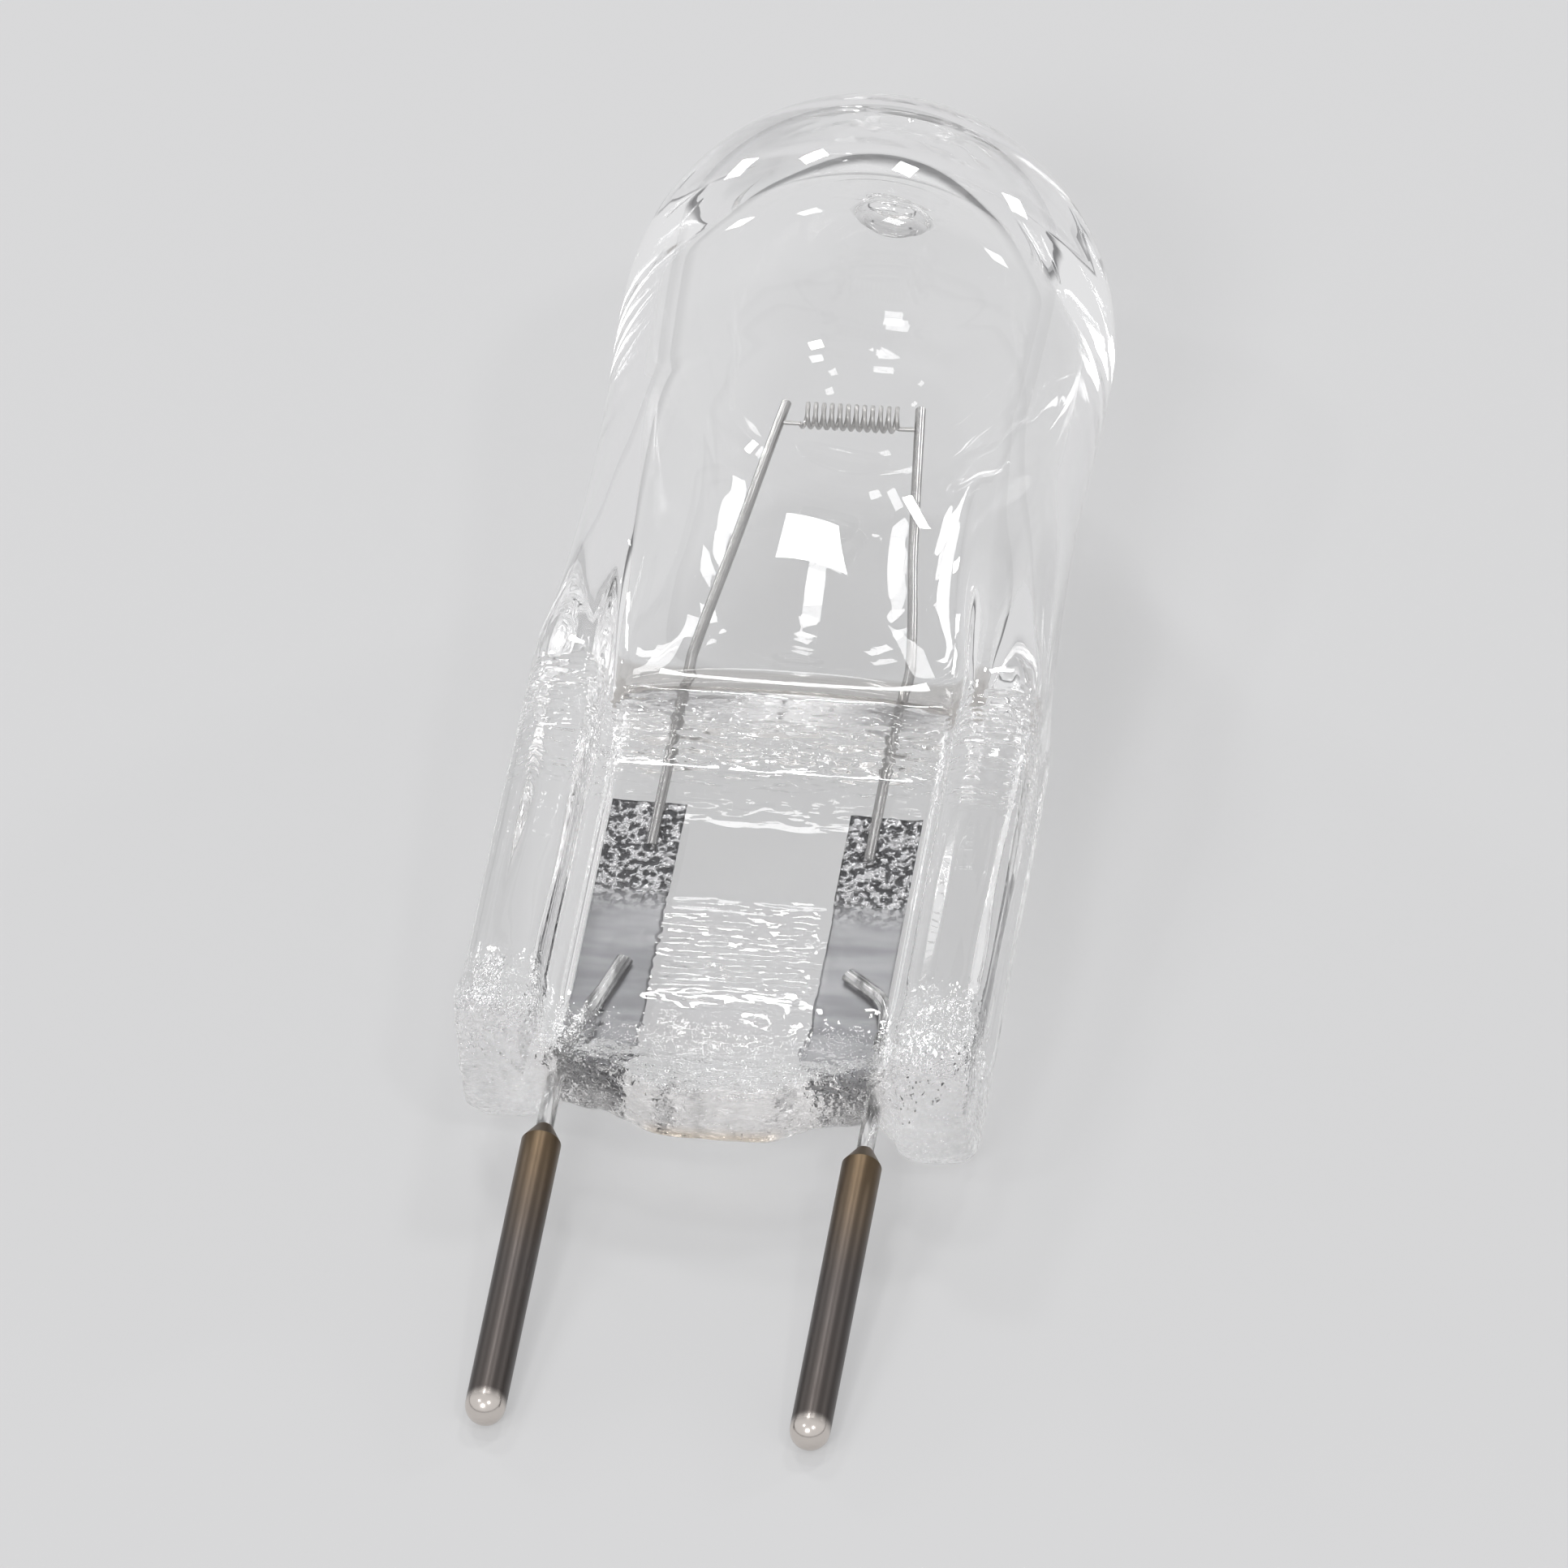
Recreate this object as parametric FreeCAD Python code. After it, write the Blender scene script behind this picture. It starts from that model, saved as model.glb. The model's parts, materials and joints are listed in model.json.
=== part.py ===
"""Two-pin halogen capsule bulb in clear fused quartz, lying as it comes to rest.

The bulb is drawn upright, with its axis on Z, height zero at the pin tips and the front of the
seal facing -Y. One placement at the end lays it down on its pin tips and its shoulder.
"""
import FreeCAD, Part
import math
import os

from FreeCAD import Vector

# Base: two pins on a standard spacing
PIN_SPACING = 8.0
PIN_DIAMETER = 1.0
PIN_LENGTH = 9.4
PIN_TAPER = 0.5

# Pinched seal: a flat web between two thick rails
SEAL_CLEAR = 1.7
SEAL_HEIGHT = 12.3
WEB_WIDTH = 9.0
WEB_THICKNESS = 2.0
WEB_SAG = 0.6
WEB_ROUND = 0.3
LIP_WIDTH = 5.0
LIP_DROP = 0.5
LIP_HEIGHT = 3.0
LIP_THICKNESS = 1.7
RAIL_STAND = 0.3
RAIL_DEPTH = 4.4
RAIL_DROP_LEFT = 0.3
RAIL_DROP_RIGHT = 0.8
RAIL_ROUND = 0.7
RAIL_END_ROUND = 0.6
RAIL_POINT_WIDTH = 0.5
RAIL_POINT_DEPTH = 1.4
RAIL_POINT_HEIGHT = 3.2
RAIL_SHORT = 3.5

# Bulb: flare, tube, dome and sealed exhaust tip
FLARE_HEIGHT = 7.6
FLARE_CREASE = 0.5
FLARE_RUN_OUT = 1.6
FLARE_SINK = 0.2
TUBE_HEIGHT = 5.4
TUBE_DIAMETER = 12.4
TUBE_WALL = 0.85
DOME_SWELL = 0.15
DOME_WALL = 1.95
DOME_THICKENING = 1.2
DOME_BLEND = 8.0
TIP_DIAMETER = 1.7
TIP_HEIGHT = 1.0
TIP_ROOT = 0.6
EXHAUST_DIAMETER = 2.3
EXHAUST_END_DIAMETER = 0.2
EXHAUST_COVER = 0.85

# Hollow where the bulb narrows to the seal
FLOOR_RISE = 0.8
FLOOR_NARROWING = 0.5
FLOOR_CORNER = 1.6

# Foils and wires in the seal
FOIL_LENGTH = 8.0
FOIL_WIDTH = 1.9
FOIL_THICKNESS = 0.05
FOIL_SPACING = 6.05
FOIL_INSET = 0.9
OUTER_LEAD_DIAMETER = 0.44
OUTER_LEAD_WELD = 2.7
OUTER_LEAD_SPACING = 5.6
OUTER_LEAD_KNEE_LEFT = 0.0
OUTER_LEAD_KNEE_RIGHT = 2.7
INNER_LEAD_DIAMETER = 0.28
INNER_LEAD_WELD = 1.5
INNER_LEAD_SPACING = 5.5
LEAD_BEND = 1.2
WELD_SINK = 0.03

# Filament between the tops of the inner leads
LEAD_TOP_SPACING = 3.6
LEAD_TOP_BELOW_DOME = 2.2
FILAMENT_BELOW_LEAD_TOP = 0.4
COIL_DIAMETER = 0.74
COIL_LENGTH = 2.6
COIL_TURNS = 12
FILAMENT_WIRE = 0.12

# Heights that follow from the sizes above
SEAL_BOTTOM = PIN_LENGTH + SEAL_CLEAR
SEAL_TOP = SEAL_BOTTOM + SEAL_HEIGHT
SHOULDER = SEAL_TOP + FLARE_HEIGHT
FLARE_FOOT = SEAL_TOP - FLARE_RUN_OUT
DOME_CENTRE = SHOULDER + TUBE_HEIGHT
TUBE_RADIUS = TUBE_DIAMETER / 2
DOME_RADIUS = TUBE_RADIUS + DOME_SWELL
RAIL_WIDTH = TUBE_RADIUS + RAIL_STAND - WEB_WIDTH / 2
DOME_APEX = DOME_CENTRE + DOME_RADIUS
HOLLOW_FLOOR = SEAL_TOP + FLOOR_RISE
RAIL_TOP = SHOULDER - RAIL_SHORT
BORE = TUBE_RADIUS - TUBE_WALL
INNER_CENTRE = DOME_CENTRE - DOME_THICKENING
INNER_DOME = DOME_APEX - DOME_WALL - INNER_CENTRE
FLARE_REACH = TUBE_RADIUS - WEB_THICKNESS / 2
FOIL_BOTTOM = SEAL_BOTTOM + FOIL_INSET
FOIL_TOP = FOIL_BOTTOM + FOIL_LENGTH
FOIL_FACE = OUTER_LEAD_DIAMETER / 2 - WELD_SINK
INNER_LEAD_PLANE = FOIL_FACE + WELD_SINK - INNER_LEAD_DIAMETER / 2
LEAD_TOP = DOME_CENTRE - LEAD_TOP_BELOW_DOME
FILAMENT_HEIGHT = LEAD_TOP - FILAMENT_BELOW_LEAD_TOP

# Sections and slope step of the flare, samples along its back, and the shares that keep rounds
# within their piece
FLARE_STATIONS = 13
SLOPE_STEP = 0.01
REST_SAMPLES = 200
ROUND_SHARE = 0.45
NECK_SHARE = 0.3


def smooth(t):
    """Ease from 0 to 1 with level ends."""
    return t * t * (3 - 2 * t)


def ellipse_wire(half_width, half_depth, height):
    """A closed ellipse across the axis, its long side along X."""
    curve = Part.Ellipse(Vector(0, 0, height), max(half_width, half_depth), half_depth)
    return Part.Wire([curve.toShape()])


def turned(edges):
    """A solid of revolution about the axis from a closed outline in the XZ plane."""
    return Part.Face(Part.Wire(edges)).revolve(Vector(0, 0, 0), Vector(0, 0, 1), 360)


def line(a, b):
    return Part.LineSegment(a, b).toShape()


def arc(a, b, c):
    return Part.Arc(a, b, c).toShape()


def at(radius, height):
    return Vector(radius, 0, height)


def vault(height):
    """A parabola, 1 at the shoulder and 0 at the seal, whose crease at the seal is eased."""
    rise = 1 - ((SHOULDER - height) / FLARE_HEIGHT) ** 2
    return rise + math.hypot(rise, FLARE_CREASE / FLARE_REACH)


def flare_depth(height):
    """Half depth of the glass where the tube is pressed flat, from the web up to the tube."""
    low, high = vault(FLARE_FOOT), vault(SHOULDER)
    return TUBE_RADIUS - (FLARE_REACH + FLARE_SINK) * (high - vault(height)) / (high - low)


def hollow_depth(height):
    """Half depth of the gas space in the flare, behind a wall of even thickness."""
    slope = (flare_depth(height + SLOPE_STEP) - flare_depth(height - SLOPE_STEP)) / (2 * SLOPE_STEP)
    return flare_depth(height) - TUBE_WALL * math.hypot(1, slope)


def flare():
    """The part of the bulb that passes from the round tube to the flat seal."""
    seal_half_width = (WEB_WIDTH + RAIL_WIDTH) / 2
    sections = []
    for i in range(FLARE_STATIONS):
        t = i / (FLARE_STATIONS - 1)
        height = FLARE_FOOT + t * (SHOULDER - FLARE_FOOT)
        half_width = seal_half_width + (TUBE_RADIUS - seal_half_width) * smooth(min(1, 2 * t))
        sections.append(ellipse_wire(half_width, flare_depth(height), height))
    return Part.makeLoft(sections, True)


def blown_bulb():
    """Tube, slightly gathered dome and sealed exhaust tip, turned about the axis."""
    reach = DOME_BLEND + DOME_RADIUS
    drop = math.sqrt(reach ** 2 - (DOME_BLEND + TUBE_RADIUS) ** 2)
    blend_low = at(TUBE_RADIUS, DOME_CENTRE - drop)
    share = DOME_RADIUS / reach
    blend_high = at(share * (DOME_BLEND + TUBE_RADIUS), DOME_CENTRE - share * drop)
    half_turn = 0.5 * math.atan2(drop, DOME_BLEND + TUBE_RADIUS)
    blend_mid = at(TUBE_RADIUS + DOME_BLEND * (1 - math.cos(half_turn)),
                   DOME_CENTRE - drop + DOME_BLEND * math.sin(half_turn))

    tip_radius = TIP_DIAMETER / 2
    root_radius = tip_radius + TIP_ROOT
    root_angle = math.acos(root_radius / DOME_RADIUS)
    root = at(root_radius, DOME_CENTRE + DOME_RADIUS * math.sin(root_angle))
    dome_mid = at(DOME_RADIUS * math.cos(root_angle / 2),
                  DOME_CENTRE + DOME_RADIUS * math.sin(root_angle / 2))
    tip_centre = DOME_APEX + TIP_HEIGHT - tip_radius
    neck = at(tip_radius, max(tip_centre, root.z + NECK_SHARE * TIP_HEIGHT))
    neck_side = at(tip_radius + NECK_SHARE * TIP_ROOT, root.z + NECK_SHARE * (neck.z - root.z))
    tip_end = at(0, neck.z + tip_radius)
    tip_side = at(tip_radius * math.sqrt(0.5), neck.z + tip_radius * math.sqrt(0.5))
    return turned([
        line(at(0, SHOULDER), at(TUBE_RADIUS, SHOULDER)),
        line(at(TUBE_RADIUS, SHOULDER), blend_low),
        arc(blend_low, blend_mid, blend_high),
        arc(blend_high, dome_mid, root),
        arc(root, neck_side, neck),
        arc(neck, tip_side, tip_end),
        line(tip_end, at(0, SHOULDER)),
    ])


def web():
    """Flat middle of the seal, sagging a little at its lower edge."""
    half = (WEB_WIDTH + RAIL_WIDTH) / 2
    left, right = at(-half, SEAL_BOTTOM), at(half, SEAL_BOTTOM)
    top_left, top_right = at(-half, SEAL_TOP), at(half, SEAL_TOP)
    outline = Part.Wire([
        arc(left, at(0, SEAL_BOTTOM - WEB_SAG), right),
        line(right, top_right),
        line(top_right, top_left),
        line(top_left, left),
    ])
    outline.translate(Vector(0, -WEB_THICKNESS / 2, 0))
    plate = Part.Face(outline).extrude(Vector(0, WEB_THICKNESS, 0))
    lower = [e for e in plate.Edges if isinstance(e.Curve, Part.Circle)]
    return plate.makeFillet(min(WEB_ROUND, ROUND_SHARE * WEB_THICKNESS), lower)


def lip():
    """Rounded tongue of glass that hangs from the middle of the web's lower edge."""
    low = SEAL_BOTTOM - WEB_SAG - LIP_DROP
    curve = Part.Ellipse(Vector(0, 0, 0), LIP_WIDTH / 2, LIP_HEIGHT / 2).toShape()
    face = Part.Face(Part.Wire([curve]))
    plate = face.extrude(Vector(0, 0, LIP_THICKNESS))
    rims = [e for e in plate.Edges if e.BoundBox.ZLength < LIP_THICKNESS / 2]
    plate = plate.makeFillet(ROUND_SHARE * LIP_THICKNESS, rims)
    plate.rotate(Vector(0, 0, 0), Vector(1, 0, 0), 90)
    return plate.translated(Vector(0, LIP_THICKNESS / 2, low + LIP_HEIGHT / 2))


def rounded_rectangle(width, depth, radius, centre_x, height):
    """A closed outline across the axis with rounded corners."""
    radius = min(radius, ROUND_SHARE * min(width, depth))
    x, y = width / 2 - radius, depth / 2 - radius
    points = []
    for corner_x, corner_y, start in ((x, y, 0), (-x, y, 90), (-x, -y, 180), (x, -y, 270)):
        for angle in (start, start + 45, start + 90):
            turn = math.radians(angle)
            points.append(Vector(centre_x + corner_x + radius * math.cos(turn),
                                 corner_y + radius * math.sin(turn), height))
    edges = []
    for i in range(0, len(points), 3):
        edges.append(arc(*points[i:i + 3]))
        edges.append(line(points[i + 2], points[(i + 3) % len(points)]))
    return Part.Wire(edges)


def rail(side, drop):
    """Thick glass rail along one edge of the seal, running out in a point on the tube."""
    centre = side * (WEB_WIDTH + RAIL_WIDTH) / 2
    bottom = SEAL_BOTTOM - drop
    bar_top = RAIL_TOP - RAIL_POINT_HEIGHT
    foot = rounded_rectangle(RAIL_WIDTH, RAIL_DEPTH, RAIL_ROUND, centre, bottom)
    bar = Part.Face(foot).extrude(Vector(0, 0, bar_top - bottom))
    end_round = min(RAIL_END_ROUND, ROUND_SHARE * RAIL_WIDTH)
    lower = [e for e in bar.Edges if e.BoundBox.ZMax < bottom + end_round]
    bar = bar.makeFillet(end_round, lower)
    low = rounded_rectangle(RAIL_WIDTH, RAIL_DEPTH, RAIL_ROUND, centre, bar_top)
    point_centre = side * (TUBE_RADIUS - RAIL_POINT_WIDTH / 2)
    high = rounded_rectangle(RAIL_POINT_WIDTH, RAIL_POINT_DEPTH, RAIL_ROUND, point_centre, RAIL_TOP)
    return bar.fuse(Part.makeLoft([low, high], True))


def exhaust_hole():
    """Cone from inside the dome into the sealed tip, as wide as its mouth where the two meet."""
    mouth, end = EXHAUST_DIAMETER / 2, EXHAUST_END_DIAMETER / 2
    mouth_height = INNER_CENTRE + INNER_DOME * math.sqrt(1 - (mouth / BORE) ** 2)
    end_height = DOME_APEX + TIP_HEIGHT - EXHAUST_COVER
    slope = (mouth - end) / (end_height - mouth_height)
    start_height = mouth_height - mouth
    return Part.makeCone(mouth + slope * mouth, end, end_height - start_height, at(0, start_height))


def hollow():
    """Gas space: inner tube and dome, the narrowing floor and the exhaust hole in the tip."""
    quarter = math.sqrt(0.5)
    inner_top = INNER_CENTRE + INNER_DOME
    upper = turned([
        line(at(0, SHOULDER), at(BORE, SHOULDER)),
        line(at(BORE, SHOULDER), at(BORE, INNER_CENTRE)),
        arc(at(BORE, INNER_CENTRE), at(BORE * quarter, INNER_CENTRE + INNER_DOME * quarter),
            at(0, inner_top)),
        line(at(0, inner_top), at(0, SHOULDER)),
    ])
    sections = []
    for i in range(FLARE_STATIONS):
        height = HOLLOW_FLOOR + (SHOULDER - HOLLOW_FLOOR) * i / (FLARE_STATIONS - 1)
        corner = 1 - min(1, (height - HOLLOW_FLOOR) / FLOOR_CORNER)
        half_width = BORE - FLOOR_NARROWING * (1 - math.sqrt(1 - corner ** 2))
        sections.append(ellipse_wire(half_width, hollow_depth(height), height))
    lower = Part.makeLoft(sections, True)
    return upper.fuse([lower, exhaust_hole()])


def pin(side):
    """Stiff contact pin with a round tip and a short taper up to its lead."""
    radius, lead = PIN_DIAMETER / 2, OUTER_LEAD_DIAMETER / 2
    quarter = radius * math.sqrt(0.5)
    body = turned([
        arc(at(0, 0), at(quarter, radius - quarter), at(radius, radius)),
        line(at(radius, radius), at(radius, PIN_LENGTH - PIN_TAPER)),
        line(at(radius, PIN_LENGTH - PIN_TAPER), at(lead, PIN_LENGTH)),
        line(at(lead, PIN_LENGTH), at(0, PIN_LENGTH)),
        line(at(0, PIN_LENGTH), at(0, 0)),
    ])
    return body.translated(Vector(side * PIN_SPACING / 2, 0, 0))


def bent_wire(points, diameter):
    """Round wire along straight runs joined by tangent bends of one radius."""
    edges, start = [], points[0]
    for before, corner, after in zip(points, points[1:], points[2:]):
        into = (corner - before).normalize()
        out = (after - corner).normalize()
        turn = into.getAngle(out)
        trim = LEAD_BEND * math.tan(turn / 2)
        first, last = corner - into * trim, corner + out * trim
        inward = (out - into).normalize()
        middle = corner + inward * (LEAD_BEND / math.cos(turn / 2) - LEAD_BEND)
        edges += [line(start, first), arc(first, middle, last)]
        start = last
    edges.append(line(start, points[-1]))
    path = Part.Wire(edges)
    direction = points[1] - points[0]
    section = Part.Wire([Part.Circle(points[0], direction, diameter / 2).toShape()])
    return path.makePipeShell([section], True, True)


def outer_lead(side, knee):
    """Wire from the top of a pin into the seal, leaning in from its knee to its weld on the foil."""
    pin_x, weld_x = side * PIN_SPACING / 2, side * OUTER_LEAD_SPACING / 2
    weld_top = FOIL_BOTTOM + OUTER_LEAD_WELD
    points = [at(pin_x, PIN_LENGTH), at(pin_x, SEAL_BOTTOM + knee), at(weld_x, weld_top)]
    return bent_wire(points, OUTER_LEAD_DIAMETER)


def inner_lead(side):
    """Fine wire from its weld on the foil, through the floor of the hollow, up to the filament."""
    weld_x, top_x = side * INNER_LEAD_SPACING / 2, side * LEAD_TOP_SPACING / 2
    points = [at(weld_x, FOIL_TOP - INNER_LEAD_WELD), at(weld_x, HOLLOW_FLOOR + LEAD_BEND),
              at(top_x, LEAD_TOP)]
    wire = bent_wire(points, INNER_LEAD_DIAMETER)
    return wire.translated(Vector(0, INNER_LEAD_PLANE, 0))


def inner_lead_reach(height):
    """Distance of an inner lead from the axis, on its straight run up the bulb."""
    weld_x, top_x = INNER_LEAD_SPACING / 2, LEAD_TOP_SPACING / 2
    return top_x + (weld_x - top_x) * (LEAD_TOP - height) / (LEAD_TOP - HOLLOW_FLOOR - LEAD_BEND)


def foil(side):
    """Thin metal foil sealed in the glass, just behind the wires that are welded to it."""
    corner = Vector(side * FOIL_SPACING / 2 - FOIL_WIDTH / 2, FOIL_FACE, FOIL_BOTTOM)
    return Part.makeBox(FOIL_WIDTH, FOIL_THICKNESS, FOIL_LENGTH, corner)


def filament():
    """Coiled wire across the bulb, with a straight leg to each inner lead."""
    coil_radius, wire_radius = COIL_DIAMETER / 2 - FILAMENT_WIRE / 2, FILAMENT_WIRE / 2
    path = Part.Wire(Part.makeHelix(COIL_LENGTH / COIL_TURNS, COIL_LENGTH, coil_radius).Edges)
    section = Part.Wire([Part.Circle(at(coil_radius, 0), Vector(0, 1, 0), wire_radius).toShape()])
    coil = path.makePipeShell([section], True, True)
    leg_length = inner_lead_reach(FILAMENT_HEIGHT) - COIL_LENGTH / 2
    legs = [Part.makeCylinder(wire_radius, leg_length, at(coil_radius, 0), Vector(0, 0, -1)),
            Part.makeCylinder(wire_radius, leg_length, at(coil_radius, COIL_LENGTH))]
    whole = coil.fuse(legs)
    whole.translate(at(0, -COIL_LENGTH / 2))
    whole.rotate(Vector(0, 0, 0), Vector(0, 1, 0), 90)
    whole.translate(Vector(0, INNER_LEAD_PLANE, FILAMENT_HEIGHT))
    return whole


def rest_tilt():
    """Lift of the axis when the bulb lies on its pin tips and on the back of its flare, in degrees."""
    tip = PIN_DIAMETER / 2
    tilts = []
    for i in range(REST_SAMPLES + 1):
        height = SEAL_TOP + FLARE_HEIGHT * i / REST_SAMPLES
        run, drop = height - tip, flare_depth(height)
        tilts.append(math.atan2(drop, run) - math.asin(tip / math.hypot(run, drop)))
    return math.degrees(max(tilts))


def build():
    """All pieces of the bulb, upright, by node name."""
    pieces = {}
    sides = (("left", -1, OUTER_LEAD_KNEE_LEFT), ("right", 1, OUTER_LEAD_KNEE_RIGHT))
    for name, side, knee in sides:
        strip = foil(side)
        pieces["foil_" + name] = strip
        pieces["outer_lead_" + name] = outer_lead(side, knee).cut(strip)
        pieces["inner_lead_" + name] = inner_lead(side).cut(strip)
        pieces["pin_" + name] = pin(side)
    glass = blown_bulb()
    for piece in (flare(), web(), lip(), rail(-1, RAIL_DROP_LEFT), rail(1, RAIL_DROP_RIGHT)):
        glass = glass.fuse(piece)
    glass = glass.cut(hollow())
    sealed_in = [shape for name, shape in pieces.items() if not name.startswith("pin")]
    pieces["quartz_envelope"] = glass.cut(sealed_in)
    leads = [pieces["inner_lead_left"], pieces["inner_lead_right"]]
    pieces["filament"] = filament().cut(leads)
    return pieces


def laid_down(pieces):
    """The same pieces lying at rest, centred over the origin with the floor at height zero."""
    tilt = rest_tilt()
    for shape in pieces.values():
        shape.rotate(Vector(0, 0, 0), Vector(1, 0, 0), tilt - 90)
    box = Part.makeCompound(list(pieces.values())).optimalBoundingBox(False)
    shift = Vector(0, -(box.YMin + box.YMax) / 2, -box.ZMin)
    return {name: shape.translated(shift) for name, shape in pieces.items()}


os.makedirs("parts", exist_ok=True)
for node, solid in laid_down(build()).items():
    solid.exportStep("parts/" + node + ".step")
    print(node, "solids", len(solid.Solids), "valid", solid.isValid(), "volume", round(solid.Volume, 3))
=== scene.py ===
# %% [markdown]
# # A halogen capsule bulb on a pale table
# The bulb is one piece of fused quartz: a round dome and tube, pressed flat at the lower end into a
# seal with a thick rail along each side. Two foils, four wires and a coil of tungsten are closed in,
# and two stiff pins come out below. The solid model gives the frame. This lesson dresses it: it gives
# the glass a smooth skin that light can pass through, crinkles the foils, and sets a table, a camera
# and soft lamps.

# %% Load the frame
import json
import math

import bpy
import numpy as np
from mathutils import Matrix, Vector, noise


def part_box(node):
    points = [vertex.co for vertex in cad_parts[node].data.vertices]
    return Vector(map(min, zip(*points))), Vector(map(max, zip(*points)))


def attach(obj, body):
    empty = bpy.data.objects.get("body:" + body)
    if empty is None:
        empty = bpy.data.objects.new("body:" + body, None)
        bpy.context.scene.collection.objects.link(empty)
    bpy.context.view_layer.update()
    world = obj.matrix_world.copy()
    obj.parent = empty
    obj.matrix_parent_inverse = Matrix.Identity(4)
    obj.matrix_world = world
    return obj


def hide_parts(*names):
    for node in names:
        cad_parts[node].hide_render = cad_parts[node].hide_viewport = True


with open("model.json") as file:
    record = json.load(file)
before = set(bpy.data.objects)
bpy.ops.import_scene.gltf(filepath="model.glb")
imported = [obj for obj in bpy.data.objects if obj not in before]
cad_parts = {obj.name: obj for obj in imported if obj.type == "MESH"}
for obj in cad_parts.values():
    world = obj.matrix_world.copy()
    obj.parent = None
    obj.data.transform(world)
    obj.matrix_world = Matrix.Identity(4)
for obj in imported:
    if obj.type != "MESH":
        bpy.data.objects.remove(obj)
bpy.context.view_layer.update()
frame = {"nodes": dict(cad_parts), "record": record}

print("nodes", sorted(frame["nodes"]))

# %% [markdown]
# ## Bulb coordinates
# The bulb lies tilted on its pin tips and its shoulder, so heights along it are awkward in the table's
# axes. A maker would measure it upright: across the seal, behind its middle plane, and along the axis
# from the pin tips. The two pin mounts in the record hold the axis and a point on it, so the change
# from bulb millimetres to table metres comes from them. Only the height of those points is given here.

# %% Bulb coordinates from the pin mounts
MM = 0.001
PIN_MIDDLE = 4.7

mounts = {mount["name"]: mount for mount in frame["record"]["mounts"]}
pin_points = [Vector(mounts[name]["pos_m"]) for name in ("pin_left", "pin_right")]
ALONG = -Vector(mounts["pin_left"]["axis"]).normalized()
ACROSS = (pin_points[1] - pin_points[0]).normalized()
BEHIND = ALONG.cross(ACROSS)
TIPS = (pin_points[0] + pin_points[1]) / 2 - ALONG * PIN_MIDDLE * MM
BULB_AXES = np.array([ACROSS, BEHIND, ALONG])


def table_points(points):
    """Rows of across, behind, along in millimetres, as places on the table in metres."""
    return np.asarray(points) @ BULB_AXES * MM + np.array(TIPS)


def bulb_points(points):
    """The way back: places on the table in metres, as across, behind, along in millimetres."""
    return (np.asarray(points) - np.array(TIPS)) @ BULB_AXES.T / MM


print("axis", [round(c, 4) for c in ALONG], "behind", [round(c, 4) for c in BEHIND])

# %% [markdown]
# ## Sizes of the glass
# These are the outer sizes of the glass in millimetres, heights being measured from the pin tips. They
# are the sizes of the solid model, so that the skin lies where the solid is.

# %% Sizes of the glass
SEAL_BOTTOM, SEAL_TOP = 11.1, 23.4
SHOULDER, DOME_CENTRE = 31.0, 36.4
TUBE_RADIUS, DOME_RADIUS, WALL = 6.2, 6.35, 0.85
NUB_RADIUS, NUB_ROOT, NUB_TOP = 0.85, 1.45, 43.75
WEB_HALF, RAIL_INNER, RAIL_OUTER, RAIL_HALF = 1.0, 4.5, 6.5, 2.2
RAIL_MIDDLE = (RAIL_INNER + RAIL_OUTER) / 2
print("glass from", SEAL_BOTTOM, "to", NUB_TOP, "mm above the pin tips")

# %% [markdown]
# ## Outlines across the glass
# High up, a cut across the glass is a circle. In the seal it is a dumb-bell: the thin web between two
# thick rails. If both outlines have the same number of points, each point of one can slide to its
# partner on the other, and the glass flows from round to flat as softened quartz does. A boolean union
# would leave a hard crease where the rails meet the tube, which clear glass would show at once.

# %% Tools for outlines
CORNER_STEPS = 12


def smooth(t):
    """Zero up to zero, one from one on, and a soft rise between."""
    t = np.clip(t, 0, 1)
    return t * t * (3 - 2 * t)


def rounded_path(corners):
    """A fine polyline through corners, each given as x, y and the radius that rounds it."""
    points = [np.array(corners[0][:2])]
    for before, corner, after in zip(corners, corners[1:], corners[2:]):
        middle, radius = np.array(corner[:2]), corner[2]
        into = np.array(before[:2]) - middle
        out = np.array(after[:2]) - middle
        start = middle + into / np.linalg.norm(into) * radius
        end = middle + out / np.linalg.norm(out) * radius
        centre = start + end - middle
        for turn in np.linspace(0, math.pi / 2, CORNER_STEPS):
            points.append(centre + (start - centre) * math.cos(turn) + (end - centre) * math.sin(turn))
    points.append(np.array(corners[-1][:2]))
    return np.array(points)


def spread(path, count):
    """Points at equal steps of length along a polyline, both ends among them."""
    steps = np.concatenate([[0], np.cumsum(np.linalg.norm(np.diff(path, axis=0), axis=1))])
    wanted = np.linspace(0, steps[-1], count + 1)
    return np.stack([np.interp(wanted, steps, path[:, k]) for k in (0, 1)], axis=1)


def whole_loop(quarter):
    """A closed outline from its first quarter, mirrored across both middle planes."""
    half = np.concatenate([quarter, quarter[-2::-1] * (-1, 1)])
    return np.concatenate([half, half[-2:0:-1] * (1, -1)])


# %% Circle and dumb-bell with matching points
QUARTER = 56
OUTER_ROUND, INNER_ROUND, FOOT_ROUND = 0.75, 0.55, 0.5

turns = np.linspace(0, math.pi / 2, QUARTER + 1)
round_loop = whole_loop(np.stack([np.cos(turns), np.sin(turns)], axis=1))
seal_path = rounded_path([
    (RAIL_OUTER, 0, 0),
    (RAIL_OUTER, RAIL_HALF, OUTER_ROUND),
    (RAIL_INNER, RAIL_HALF, INNER_ROUND),
    (RAIL_INNER, WEB_HALF, FOOT_ROUND),
    (0, WEB_HALF, 0),
])
seal_loop = whole_loop(spread(seal_path, QUARTER))
AROUND = len(round_loop)
print("points around the glass", AROUND, len(seal_loop))

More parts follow.
